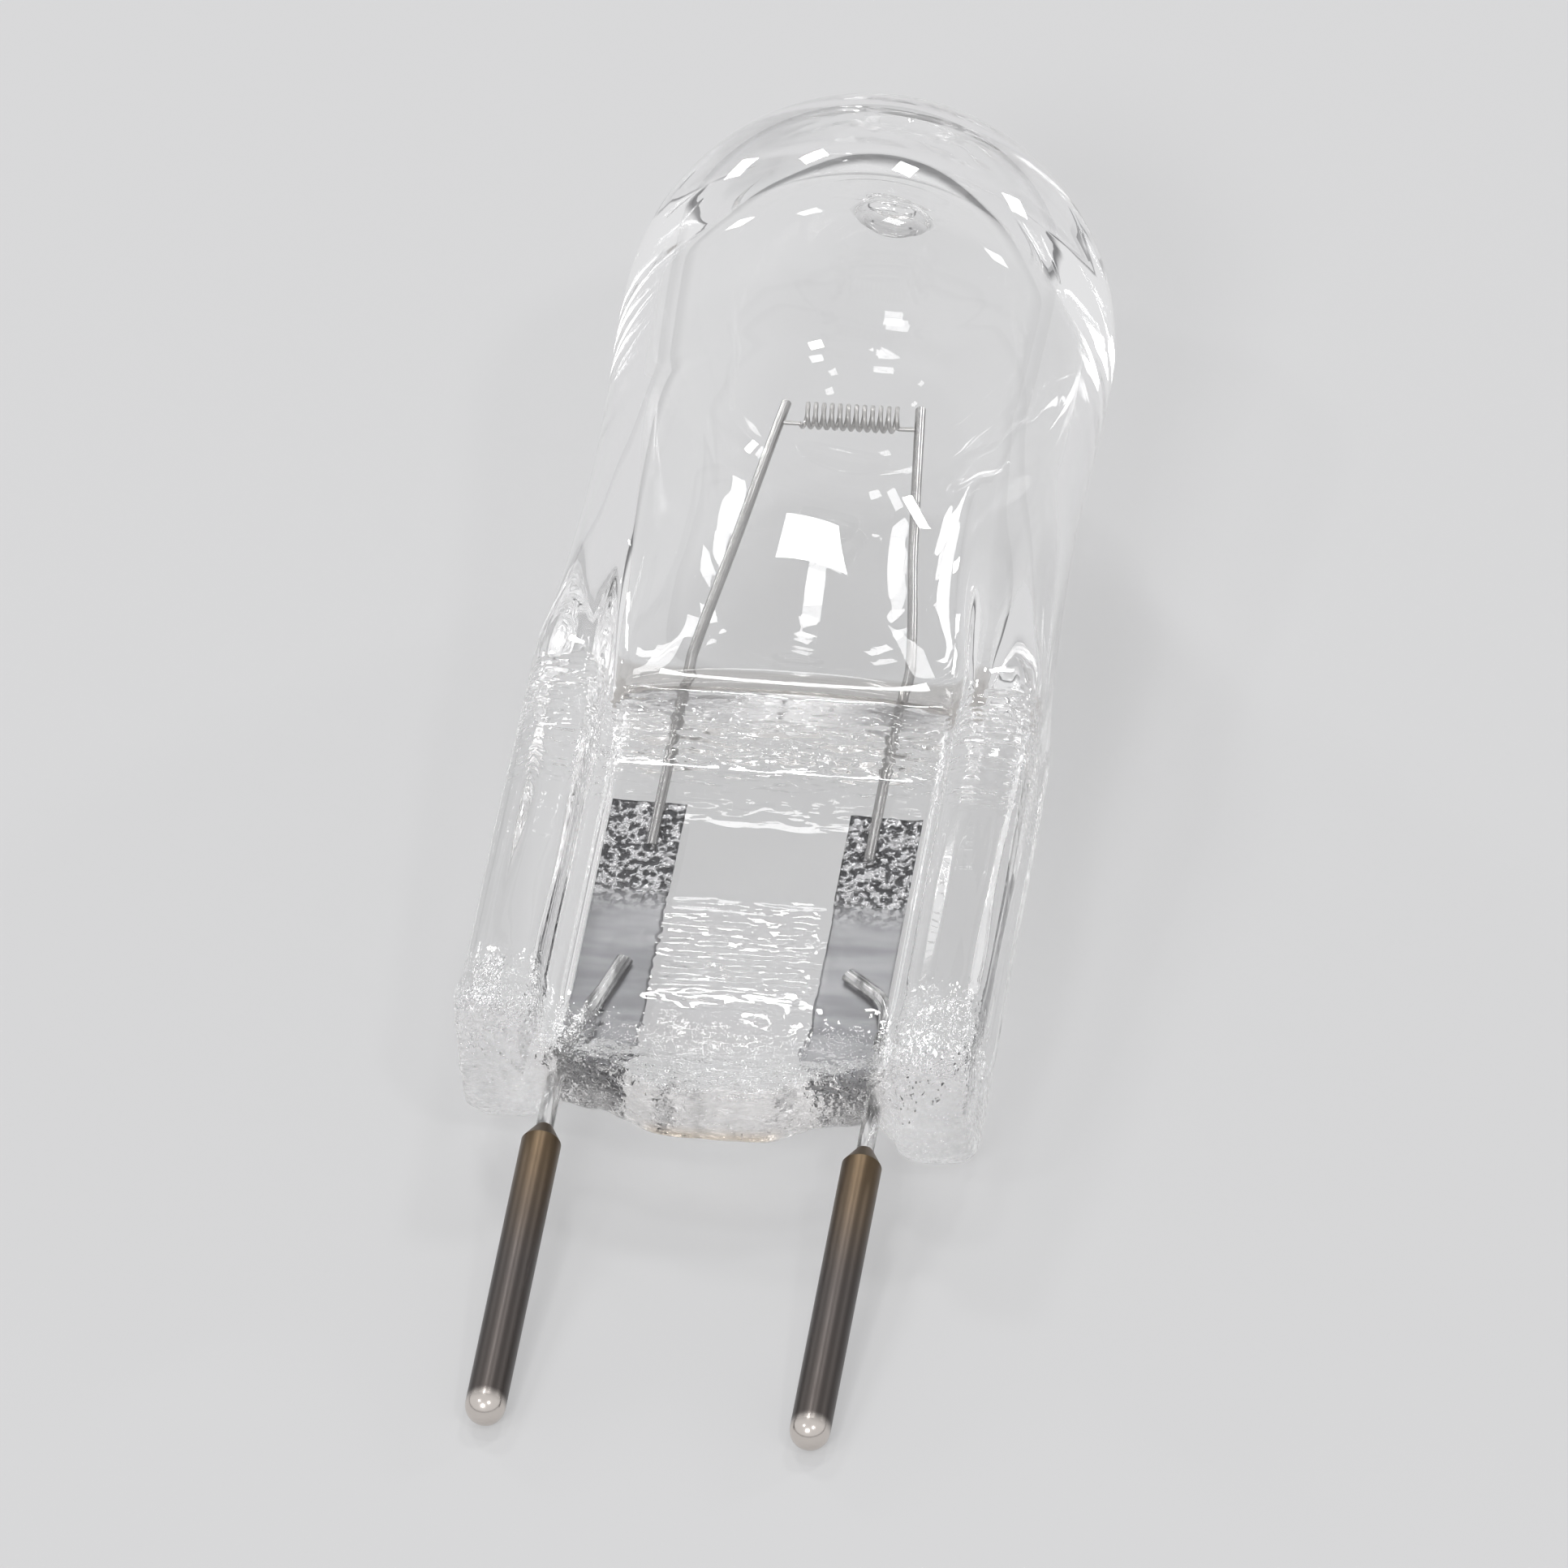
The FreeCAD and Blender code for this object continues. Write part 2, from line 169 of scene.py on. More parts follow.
# %% [markdown]
# ## Nub, dome and tube
# The bulb was pumped out through a thin pipe at its top, which was then melted off and left a round
# nub. Below it the dome runs into a tube that is very gently narrower. All of this is turned about one
# axis, so plain rings at the right heights give it. A lathe modifier would do as well, but the rings
# have to meet the outlines of the seal point for point.

# %% Rings of the nub, dome and tube
NUB_ROWS, ROOT_ROWS, DOME_ROWS, TUBE_ROWS = 9, 5, 44, 40
NUB_FIRST, ROOT_FIRST, ROOT_LAST = 82, 15, 80


def ring(radius, height):
    """A level circle about the bulb's axis."""
    return np.column_stack([round_loop * radius, np.full(AROUND, height)])


def nub_and_dome():
    """Rings from the nub's top to the widest part of the dome."""
    rows = []
    centre = NUB_TOP - NUB_RADIUS
    for turn in np.radians(np.linspace(NUB_FIRST, 0, NUB_ROWS)):
        rows.append(ring(NUB_RADIUS * math.cos(turn), centre + NUB_RADIUS * math.sin(turn)))
    root = math.acos(NUB_ROOT / DOME_RADIUS)
    drop = centre - (DOME_CENTRE + DOME_RADIUS * math.sin(root))
    for turn in np.radians(np.linspace(ROOT_FIRST, ROOT_LAST, ROOT_ROWS)):
        widening = (NUB_ROOT - NUB_RADIUS) * (1 - math.cos(turn))
        rows.append(ring(NUB_RADIUS + widening, centre - drop * math.sin(turn)))
    for turn in np.linspace(root, 0, DOME_ROWS):
        rows.append(ring(DOME_RADIUS * math.cos(turn), DOME_CENTRE + DOME_RADIUS * math.sin(turn)))
    return rows


def tube_radius(height):
    """Radius of the tube, growing very gently towards the dome."""
    share = smooth((height - SHOULDER) / (DOME_CENTRE - SHOULDER))
    return TUBE_RADIUS + (DOME_RADIUS - TUBE_RADIUS) * share


def tube():
    """Rings from the dome down to the shoulder."""
    heights = np.linspace(DOME_CENTRE, SHOULDER, TUBE_ROWS)[1:]
    return [ring(tube_radius(height), height) for height in heights]


round_rows = nub_and_dome() + tube()
print("round rows", len(round_rows))

# %% [markdown]
# ## Flare
# Below the shoulder the tube was squeezed while soft. Its front and back come together in a vault and
# meet the flat web in a fine crease, while its sides turn into the rails over a shorter way. Each row
# is a mix of circle and dumb-bell, and the share of the circle falls along the vault.

# %% Outlines of the flare
FLARE, FLARE_FOOT, FLARE_ROWS = SHOULDER - SEAL_TOP, 21.8, 64
CREASE, FOOT_FADE = 0.2, 0.8
RAIL_FOOT, RAIL_FADE = 22.6, 2.6
SIDE_START, SIDE_FADE = 3.4, 1.4


def flare_share(height):
    """How far the web has swelled towards the round tube: a vault with a soft crease at its foot."""
    vault = 1 - np.clip((SHOULDER - height) / FLARE, 0, 2) ** 2
    crease = CREASE / (TUBE_RADIUS - WEB_HALF)
    return (vault + np.sqrt(vault ** 2 + crease ** 2)) / (1 + math.hypot(1, crease))


def flare():
    """Outlines that slide from the circle to the dumb-bell, the rails over a shorter way."""
    rows = []
    on_side = smooth((np.abs(seal_loop[:, 0]) - SIDE_START) / SIDE_FADE)
    for height in np.linspace(SHOULDER, FLARE_FOOT, FLARE_ROWS)[1:]:
        web_share = flare_share(height) * smooth((height - FLARE_FOOT) / FOOT_FADE)
        rail_share = web_share * smooth((height - RAIL_FOOT) / RAIL_FADE)
        share = (web_share + (rail_share - web_share) * on_side)[:, None]
        loop = seal_loop + (round_loop * TUBE_RADIUS - seal_loop) * share
        rows.append(np.column_stack([loop, np.full(AROUND, height)]))
    return rows


flare_rows = flare()
print("flare rows", len(flare_rows))

# %% [markdown]
# ## Seal and its lower end
# The seal keeps one dumb-bell outline along its length. Its lower end was broken off: the web's edge
# sags, with a tongue of glass in the middle, and the rails end in round blobs at their own heights.
# The rows lie closer where the jaws left marks, because those marks become relief in a later step.

# %% Outlines of the seal
RIDGE_END, RIPPLE_START, END_START = 20.2, 16.9, 13.2
RIDGE_ROWS, PLAIN_ROWS, RIPPLE_ROWS, END_ROWS, CLOSING_ROWS = 22, 9, 52, 16, 15
WEB_SAG, TONGUE, TONGUE_HALF, TONGUE_FADE = 0.6, 0.45, 2.7, 1.4
RAIL_DROP_LEFT, RAIL_DROP_RIGHT, DROP_START, DROP_FADE = 0.3, 0.8, 3.9, 0.6
WEB_BEND, RAIL_BEND, BEND_START, BEND_FADE = 0.25, 1.0, 4.0, 0.5
BLOB_TAPER, CLOSING_TURN, EDGE_RATE, EDGE_POWER = 0.35, 88, 4, 0.6


def lower_edge(x):
    """Height of the seal's lower end: sagging web, tongue in its middle, lower rails."""
    far = np.abs(x)
    sag = WEB_SAG * (1 - np.clip(far / RAIL_INNER, 0, 1) ** 2)
    tongue = TONGUE * smooth((TONGUE_HALF - far) / TONGUE_FADE)
    web = SEAL_BOTTOM - sag - tongue
    rail = SEAL_BOTTOM - np.where(x < 0, RAIL_DROP_LEFT, RAIL_DROP_RIGHT)
    return web + (rail - web) * smooth((far - DROP_START) / DROP_FADE)


def seal():
    """The dumb-bell down to the lower edge, then across its broken end."""
    heights = np.concatenate([
        np.linspace(FLARE_FOOT, RIDGE_END, RIDGE_ROWS)[1:],
        np.linspace(RIDGE_END, RIPPLE_START, PLAIN_ROWS)[1:],
        np.linspace(RIPPLE_START, END_START, RIPPLE_ROWS)[1:],
    ])
    rows = [np.column_stack([seal_loop, np.full(AROUND, height)]) for height in heights]
    x, y = seal_loop[:, 0], seal_loop[:, 1]
    on_rail = smooth((np.abs(x) - BEND_START) / BEND_FADE)
    bend = WEB_BEND + (RAIL_BEND - WEB_BEND) * on_rail
    low = lower_edge(x)
    for share in np.linspace(0, 1, END_ROWS)[1:]:
        rows.append(np.column_stack([x, y, END_START + (low + bend - END_START) * share]))
    middle = np.sign(x) * RAIL_MIDDLE
    for turn in np.radians(np.linspace(0, CLOSING_TURN, CLOSING_ROWS)[1:]):
        closed = 1 - math.cos(turn)
        pull = 1 - BLOB_TAPER * on_rail * closed
        sharp_edge = min(1, EDGE_RATE * closed) ** EDGE_POWER
        drop = bend * (on_rail * math.sin(turn) + (1 - on_rail) * sharp_edge)
        rows.append(np.column_stack([middle + (x - middle) * pull, y * math.cos(turn), low + bend - drop]))
    return rows


outer_rows = round_rows + flare_rows + seal()
print("outer rows", len(outer_rows))

# %% [markdown]
# ## Top of the gas space
# The gas space is a second skin inside the first. At its top is the sealed exhaust hole, with a dimpled
# mouth and a collar of glass that hangs round it where the pipe was melted on. From the collar the
# inner dome runs down, with one faint ripple. All of it is round, so rings do again.

# %% Rings of the exhaust mouth and the inner dome
INNER_CENTRE, INNER_DOME = 35.2, 6.1
MOUTH_RADIUS, MOUTH_DEPTH, MOUTH_TURN, EXHAUST_END = 0.65, 0.9, 84, 42.9
COLLAR_WIDTH, COLLAR_HEIGHT = 0.4, 0.6
HOLE_ROWS, MOUTH_ROWS, COLLAR_ROWS, INNER_ROWS = 6, 16, 10, 44
RIPPLE_DEPTH, RIPPLE_TURN, RIPPLE_WIDTH = 0.06, 0.86, 0.04


def mouth_and_dome():
    """Rings from the end of the exhaust hole, out of its mouth, round the collar and over the dome."""
    bore = tube_radius(INNER_CENTRE) - WALL
    root = math.acos((MOUTH_RADIUS + COLLAR_WIDTH) / bore)
    low = INNER_CENTRE + INNER_DOME * math.sin(root)
    hole = MOUTH_RADIUS * math.cos(math.radians(MOUTH_TURN))
    rows = [ring(hole, height) for height in np.linspace(EXHAUST_END, low + MOUTH_DEPTH, HOLE_ROWS)]
    for turn in np.radians(np.linspace(MOUTH_TURN, 0, MOUTH_ROWS)):
        rows.append(ring(MOUTH_RADIUS * math.cos(turn), low + MOUTH_DEPTH * math.sin(turn)))
    for turn in np.radians(np.linspace(0, 180, COLLAR_ROWS)[1:-1]):
        radius = MOUTH_RADIUS + COLLAR_WIDTH * (1 - math.cos(turn)) / 2
        rows.append(ring(radius, low - COLLAR_HEIGHT * math.sin(turn)))
    for turn in np.linspace(root, 0, INNER_ROWS):
        ripple = RIPPLE_DEPTH * math.exp(-((turn - RIPPLE_TURN) / RIPPLE_WIDTH) ** 2)
        height = INNER_CENTRE + (INNER_DOME - ripple) * math.sin(turn)
        rows.append(ring((bore - ripple) * math.cos(turn), height))
    return rows


mouth_rows = mouth_and_dome()
print("rows of the mouth and inner dome", len(mouth_rows))

# %% [markdown]
# ## Bottom of the gas space
# Below the bore the gas space follows the flare with a wall of even thickness, since the tube was only
# bent there and not thinned. It narrows to a slot and closes on a floor whose corners hang lower than
# its middle.

# %% Outlines of the bore and the floor
HOLLOW_FLOOR, BORE_ROWS, FLAT_ROWS, FLOOR_ROWS = 24.2, 18, 60, 9
SLOPE_STEP = 0.05
SLOT_NARROWING, SLOT_START, SLOT_FADE = 0.5, 26.0, 2.4
FLOOR_TURN, FLOOR_INSET, FLOOR_DEPTH = 86, 0.3, 0.5
CORNER_HANG, HANG_REACH, HANG_START, HANG_FADE = 0.9, 5, 27.0, 2.8


def hollow_depth(height):
    """Half depth of the gas space in the flare, behind a wall of even thickness."""
    reach = TUBE_RADIUS - WEB_HALF
    rise = flare_share(height + SLOPE_STEP) - flare_share(height - SLOPE_STEP)
    slope = reach * rise / (2 * SLOPE_STEP)
    return WEB_HALF + reach * flare_share(height) - WALL * math.hypot(1, slope)


def slot_width(height):
    """Half width of the gas space in the flare."""
    return TUBE_RADIUS - WALL - SLOT_NARROWING * float(smooth((SLOT_START - height) / SLOT_FADE))


def pinched_floor():
    """Flattening outlines down to the floor, then across it."""
    heights = np.linspace(SHOULDER, HOLLOW_FLOOR, FLAT_ROWS)[1:]
    shapes = [(slot_width(height), hollow_depth(height), height) for height in heights]
    half_width, half_depth, low = shapes[-1]
    for turn in np.radians(np.linspace(0, FLOOR_TURN, FLOOR_ROWS)[1:]):
        shapes.append((half_width - FLOOR_INSET * (1 - math.cos(turn)), half_depth * math.cos(turn),
                       low - FLOOR_DEPTH * math.sin(turn)))
    rows = []
    for half_width, half_depth, height in shapes:
        loop = round_loop * (half_width, half_depth)
        hang = CORNER_HANG * np.abs(loop[:, 0] / HANG_REACH) ** 3
        hang = hang * float(smooth((HANG_START - height) / HANG_FADE))
        rows.append(np.column_stack([loop, height - hang]))
    return rows


bore_heights = np.linspace(INNER_CENTRE, SHOULDER, BORE_ROWS)[1:]
bore_rows = [ring(tube_radius(height) - WALL, height) for height in bore_heights]
inner_rows = mouth_rows + bore_rows + pinched_floor()
print("inner rows", len(inner_rows))

# %% [markdown]
# ## Marks that the making leaves in the glass
# The jaws that pinch the hot tube leave ridges where the web begins and ripples across its lower half.
# The web's end is spattered, the rails carry draw lines and end in lumps, and the melted nub is uneven.
# In clear glass a mark a few hundredths of a millimetre deep already throws sparkles, so these are real
# relief in the skin, not paint. Each mark is noise inside a soft patch of the bulb.

# %% Patches of the marks
BACK_SHARE = 0.7
WEB, WEB_MIDDLE = (-1, 4.3, 0.4), (-1, 2.2, 0.5)
RAIL, RAIL_AND_EDGE = (4.3, 7.5, 0.4), (4.1, 7.5, 0.4)
RIDGE_BAND, RIPPLE_BAND, SPATTER_BAND = (20.6, 23.3, 0.6), (13.2, 16.6, 0.6), (9.8, 13.4, 0.8)
RAIL_BAND, BLOB_BAND, NUB_BAND = (9, 25.5, 3), (9, 13.8, 1.6), (42.3, 46.0, 0.4)


def wave(x, y, z, seed):
    """Soft noise at a point, shifted so that each seed gives a pattern of its own."""
    return noise.noise(Vector((x, y, z + seed)))


def even_wave(x, y, s, scale, seed):
    """Noise with the same grain in all directions."""
    return wave(scale * x, scale * y, scale * s, seed)


def window(value, low, high, soft):
    """One between two limits, falling softly to nothing outside them."""
    return float(smooth((value - low) / soft) * smooth((high - value) / soft))


print("web marks end", WEB[1], "mm from the middle, rail marks start at", RAIL[0])

# %% Relief of each mark
def nub_lumps(x, y, s):
    return 0.14 * even_wave(x, y, s, 1.1, 81) + 0.09 * even_wave(x, y, s, 2.6, 91)


def jaw_ridges(x, y, s):
    lines = math.sin(14 * s + 5 * wave(0.8 * x, 0.4 * s, 0, 3)) * (0.5 + wave(1.4 * x, s, 0, 9))
    return 0.05 * lines + 0.06 * wave(1.8 * x, 2.6 * s, y, 21)


def jaw_ripples(x, y, s):
    lines = math.sin(16 * s + 2 * wave(0.5 * x, 0.5 * s, 0, 5))
    return 0.025 * lines * (0.8 + wave(1.6 * x, 2 * s, y, 2))


def web_spatter(x, y, s):
    return 0.08 * (wave(1.7 * x, 2.3 * s, 2 * y, 31) + 0.6 * wave(3.4 * x, 4.2 * s, 4 * y, 33))


def draw_lines(x, y, s):
    return 0.05 * wave(2.4 * x, 2.4 * y, 0.25 * s, 41)


def blob_lumps(x, y, s):
    return 0.12 * even_wave(x, y, s, 0.9, 51) + 0.09 * even_wave(x, y, s, 2.1, 61)


def relief(x, y, s):
    """How far the skin stands out, in millimetres, at a point of the outer skin."""
    far = abs(x)
    on_web = window(far, *WEB)
    marks = (
        (nub_lumps, window(s, *NUB_BAND)),
        (jaw_ridges, window(s, *RIDGE_BAND) * on_web),
        (jaw_ripples, window(s, *RIPPLE_BAND) * window(far, *WEB_MIDDLE)),
        (web_spatter, window(s, *SPATTER_BAND) * on_web),
        (draw_lines, window(far, *RAIL) * window(s, *RAIL_BAND)),
        (blob_lumps, window(far, *RAIL_AND_EDGE) * window(s, *BLOB_BAND)),
    )
    depth = sum(share * mark(x, y, s) for mark, share in marks if share)
    depth += 0.02 * even_wave(x, y, s, 0.16, 71)
    return depth if y < 0 else depth * BACK_SHARE


print("relief on the web at 22 mm", round(relief(0.0, -WEB_HALF, 22.0), 3), "mm")

# %% [markdown]
# ## One mesh for the glass
# Both skins go into one mesh. Each row is joined to the next by four-sided faces, the first row closes
# on a point and the last across its thin line. The inner skin is turned round, so that every face
# looks out of the quartz, and the shader can tell glass from gas.

# %% Tools for the mesh
def row_normals(grid):
    """Directions square to the surface at every point of a grid of rows."""
    down = np.gradient(grid, axis=0)
    around = np.roll(grid, -1, axis=1) - np.roll(grid, 1, axis=1)
    normal = np.cross(down, around)
    length = np.linalg.norm(normal, axis=2, keepdims=True)
    return normal / np.maximum(length, 1e-9)


def skin_faces(rows, first, pole, turned):
    """Faces of one closed skin whose points start at an index, with a point that closes its top."""
    faces = []
    for k in range(AROUND):
        after = (k + 1) % AROUND
        faces.append((pole, first + k, first + after))
        for row in range(rows - 1):
            low, high = first + row * AROUND, first + (row + 1) * AROUND
            faces.append((low + k, high + k, high + after, low + after))
    last = first + (rows - 1) * AROUND
    half = AROUND // 2
    for k in range(half):
        a, b = last + k, last + k + 1
        c, d = last + (AROUND - k - 1) % AROUND, last + (AROUND - k) % AROUND
        faces.append((a, d, c, b) if 0 < k < half - 1 else tuple(dict.fromkeys((a, d, c, b))))
    return [face[::-1] for face in faces] if turned else faces


def new_mesh(name, points, faces):
    """A smooth piece of the object, riding on its one body."""
    mesh = bpy.data.meshes.new(name)
    mesh.from_pydata([tuple(p) for p in points], [], faces)
    mesh.shade_smooth()
    piece = bpy.data.objects.new(name, mesh)
    bpy.context.scene.collection.objects.link(piece)
    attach(piece, "root")
    return piece


# %% Build the glass
TUBE_ROW = 60
HOLE_TOP = EXHAUST_END + 0.05

outer, inner = np.array(outer_rows), np.array(inner_rows)
lift = np.array([relief(*point) for point in outer.reshape(-1, 3)]).reshape(outer.shape[:2])
outward = row_normals(outer)
if np.sum(outward[TUBE_ROW, :, :2] * outer[TUBE_ROW, :, :2]) < 0:
    outward = -outward
outer = outer + outward * lift[:, :, None]
poles = [(0, 0, NUB_TOP), (0, 0, HOLE_TOP)]
points = np.concatenate([outer.reshape(-1, 3), inner.reshape(-1, 3), poles])
outer_count, pole = len(outer) * AROUND, len(points) - len(poles)
faces = skin_faces(len(outer), 0, pole, False)
faces += skin_faces(len(inner), outer_count, pole + 1, True)
glass = new_mesh("quartz_skin", table_points(points), faces)
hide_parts("quartz_envelope")
print("glass faces", len(faces))

# %% [markdown]
# ## A shader written as sums
# A finish is worked out from sockets. One small class wraps a socket, so that Python's own signs add
# the Math nodes, and one method adds any other node. Colours are mixed by Mix nodes, because a Math
# node would turn them grey.

# %% The socket class
class Wire:
    """A socket of a material's node tree, with Python's signs for its maths."""

    def __init__(self, tree, socket=None):
        self.tree = tree
        self.socket = socket

    def node(self, kind, settings=None, sockets=None, output=0):
        """Add a node: its settings first, then the values or links of its sockets."""
        made = self.tree.nodes.new(kind)
        for key, value in (settings or {}).items():
            setattr(made, key, value)
        for key, value in (sockets or {}).items():
            if isinstance(value, Wire):
                self.tree.links.new(value.socket, made.inputs[key])
            else:
                made.inputs[key].default_value = value
        return Wire(self.tree, made.outputs[output])

    def maths(self, operation, *values):
        return self.node("ShaderNodeMath", {"operation": operation}, dict(enumerate(values)))

    def __add__(self, other):
        return self.maths("ADD", self, other)

    def __radd__(self, other):
        return self.maths("ADD", other, self)

    def __sub__(self, other):
        return self.maths("SUBTRACT", self, other)

    def __rsub__(self, other):
        return self.maths("SUBTRACT", other, self)

    def __mul__(self, other):
        return self.maths("MULTIPLY", self, other)

    def __rmul__(self, other):
        return self.maths("MULTIPLY", other, self)

    def __abs__(self):
        return self.maths("ABSOLUTE", self)

    def dot(self, vector):
        settings = {"operation": "DOT_PRODUCT"}
        return self.node("ShaderNodeVectorMath", settings, {0: self, 1: tuple(vector)}, 1)

    def step(self, low, high):
        """Zero below one limit and one above another, with a soft change between."""
        return self.node("ShaderNodeMapRange", {"interpolation_type": "SMOOTHSTEP"},
                         {0: self, 1: low, 2: high, 3: 0.0, 4: 1.0})

    def band(self, low_start, low_end, high_start, high_end):
        """One between a soft lower and a soft upper limit, zero outside them."""
        return self.step(low_start, low_end) * (1 - self.step(high_start, high_end))

    def mix(self, first, second):
        """A colour between two, this value being the share of the second."""
        return self.node("ShaderNodeMix", {"data_type": "RGBA"}, {0: self, 6: first, 7: second}, 2)


print("socket class", Wire.__name__)

# %% Tools for finishes
def grain(place, scale, detail=3.0, rough=0.55):
    """Soft noise from zero to one, with so many waves to one unit of the place."""
    sockets = {"Vector": place, "Scale": scale, "Detail": detail, "Roughness": rough}
    return place.node("ShaderNodeTexNoise", {}, sockets)


def joined(x, y, z):
    """A place from three numbers."""
    return x.node("ShaderNodeCombineXYZ", {}, {0: x, 1: y, 2: z})


def new_finish(name):
    """A new material: itself, its shader and the place of the shaded point."""
    material = bpy.data.materials.new(name)
    material.use_nodes = True
    tree = material.node_tree
    place = Wire(tree).node("ShaderNodeTexCoord", output="Object")
    return material, tree.nodes["Principled BSDF"], place


def feed(wire, node, socket):
    """Link a worked-out value to a socket of a node."""
    wire.tree.links.new(wire.socket, node.inputs[socket])


def bulb_place(place):
    """Millimetres across, behind and along the bulb at the shaded point."""
    return [place.dot(axis / MM) - TIPS.dot(axis) / MM for axis in (ACROSS, BEHIND, ALONG)]


def dress(piece, material):
    """Give a piece one material."""
    piece.data.materials.clear()
    piece.data.materials.append(material)


def grey(value, blue=0.0):
    """A neutral colour, a little bluer if asked."""
    return (value, value, value + blue, 1)


# %% [markdown]
# ## Quartz
# Fused quartz is clear and colourless, and bends light a little less than window glass. It is polished
# by the flame nearly everywhere, so most faces take a plain clear finish.

# %% Clear quartz
QUARTZ_IOR = 1.458


def new_quartz(name):
    """A finish that passes light as fused quartz does."""
    material, shader, place = new_finish(name)
    shader.inputs["Transmission Weight"].default_value = 1.0
    shader.inputs["IOR"].default_value = QUARTZ_IOR
    return material, shader, place


clear_quartz, shader, place = new_quartz("clear_quartz")
shader.inputs["Base Color"].default_value = grey(1.0)
shader.inputs["Roughness"].default_value = 0.0
print("quartz", clear_quartz.name)

# %% [markdown]
# ## Marked quartz
# The ends of the rails were broken when the bulb was cut from its tube, so they sparkle. The jaws left
# fine crinkles above the foils and ripples between them, and the lower edge is scorched brown. Painted
# shade darkens the lower rim of the web, the floor of the gas space, and the collar and pit of the exhaust
# hole, the collar most on its back. Each mark has a mask from the place on the bulb, zero outside its
# patch and one within.

# %% Masks of the seal's marks
marked_quartz, shader, place = new_quartz("marked_quartz")
across, behind, along = bulb_place(place)
far, deep = abs(across), abs(behind)
on_rail = far.step(4.1, 4.6)
torn = on_rail * (1 - along.step(11.0, 13.8))
pinched = along.band(20.6, 21.3, 22.6, 23.2) * deep.step(0.8, 0.95)
rippled = along.band(12.9, 13.6, 16.0, 16.8) * (1 - far.step(1.9, 2.4))
broken = (1 - along.step(11.2, 13.0)) * (1 - on_rail)
beside_tongue = far.step(2.0, 3.0)
scorched = (1 - along.step(10.05, 10.35)) * (1 - far.step(1.6, 2.4)) * behind.step(0.2, 0.7)
edge_line = SEAL_BOTTOM - WEB_SAG + far * far * 0.03 - TONGUE * (1 - far.step(1.3, TONGUE_HALF))
# Painted shade: a thin dark line along the web's lower rim and a dark band on the floor of the gas space.
rim_shade = (1 - (along - edge_line).step(0.04, 0.22)) * (1 - on_rail)
floor_shade_line = along.band(22.6, 22.8, 24.3, 24.6) * (1 - deep.step(0.70, 0.80)) * (1 - far.step(4.9, 5.2))
print("nodes for the seal's marks", len(marked_quartz.node_tree.nodes))

# %% Masks of the tip's marks
squares = across * across + behind * behind
round_axis = squares.maths("SQRT", squares)
# Painted shade: the collar round the exhaust mouth is darkened, most on its back, and so is the pit in its
# middle.
collar = round_axis.band(0.60, 0.70, 1.05, 1.2) * along.band(40.1, 40.3, 41.4, 41.7)
collar = collar * (0.35 + behind.step(-0.4, 0.6) * 0.65)
pit_shade = (1 - round_axis.step(0.16, 0.26)) * along.band(41.4, 41.7, 42.92, 43.0)
sealed = along.step(41.6, 42.4) * (1 - round_axis.step(1.3, 1.9))
print("nodes with the tip's marks", len(marked_quartz.node_tree.nodes))

# %% [markdown]
# ## Colour and crinkles of the marks
# The masks colour the glass, some of it with painted shade, and steer a bump. The bump carries only
# crinkles that are finer than the mesh: dashes along the jaws' lines, specks on broken glass and soft
# lumps on the melted tip. Faces far from any mark keep the plain finish, which needs no masks.

# %% Finish of the marked quartz
# Scorch brown is the glass's own colour; the dark grey for the lines and the grey for the exhaust mouth
# are painted shade.
SCORCH, SHADE_LINE_TONE, MOUTH_SHADE_TONE = (0.72, 0.55, 0.38, 1), (0.42, 0.38, 0.34, 1), grey(0.4)
CRINKLE_HEIGHT = 0.0001

scorch_and_shade = scorched.mix(grey(1.0), SCORCH)
# Painted shade over the scorch: the web's rim and the floor of the gas space are darkened.
scorch_and_shade = (floor_shade_line * 0.6 + rim_shade * 0.3).mix(scorch_and_shade, SHADE_LINE_TONE)
# The collar and the pit take painted shade, a mid grey.
feed((collar + pit_shade).mix(scorch_and_shade, MOUTH_SHADE_TONE), shader, "Base Color")
feed(torn * grain(place, 1800) * 0.05, shader, "Roughness")
dashes = grain(joined(across * 0.35, behind, along), 3.6, 1.0)
specks = grain(place, 4200, 2.0)
lumps = grain(place, 1700, 1.5)
height = dashes * (pinched * 1.5 + rippled * 0.6 + broken * 1.5)
height = height + specks * (torn * 2.2 + broken * (0.6 + beside_tongue * 1.6))
height = height + lumps * sealed * 1.2
bump_sockets = {"Strength": 1.0, "Distance": CRINKLE_HEIGHT, "Height": height}
feed(place.node("ShaderNodeBump", {}, bump_sockets), shader, "Normal")
print("nodes in the marked quartz", len(marked_quartz.node_tree.nodes))

# %% Faces that take each quartz
MARKED_BELOW, MARKED_ABOVE = 24.7, 40.0

dress(glass, clear_quartz)
glass.data.materials.append(marked_quartz)
centres = np.empty(len(glass.data.polygons) * 3)
glass.data.polygons.foreach_get("center", centres)
heights = bulb_points(centres.reshape(-1, 3))[:, 2]
is_marked = (heights < MARKED_BELOW) | (heights > MARKED_ABOVE)
glass.data.polygons.foreach_set("material_index", is_marked.astype(np.int32))
print("marked faces", int(is_marked.sum()), "of", len(is_marked))

# %% [markdown]
# ## Foils
# The seal holds two strips of molybdenum foil thinner than paper. They wrinkle as the glass closes on
# them, most near their tops. A grid of points pushed in and out by noise gives the creases, with a back
# face a little behind, because a real foil has two sides. A cloth simulation could wrinkle them too,
# but noise gives the same foil in every run.

# %% Shape of a crinkled foil
FOIL_COLUMNS, FOIL_ROWS = 26, 110
FOIL_HALF_LENGTH, FOIL_HALF_THICK = 4.0, 0.025
WRINKLE_START, WRINKLE_FADE, FLAT_SHARE = 0.1, 0.3, 0.25


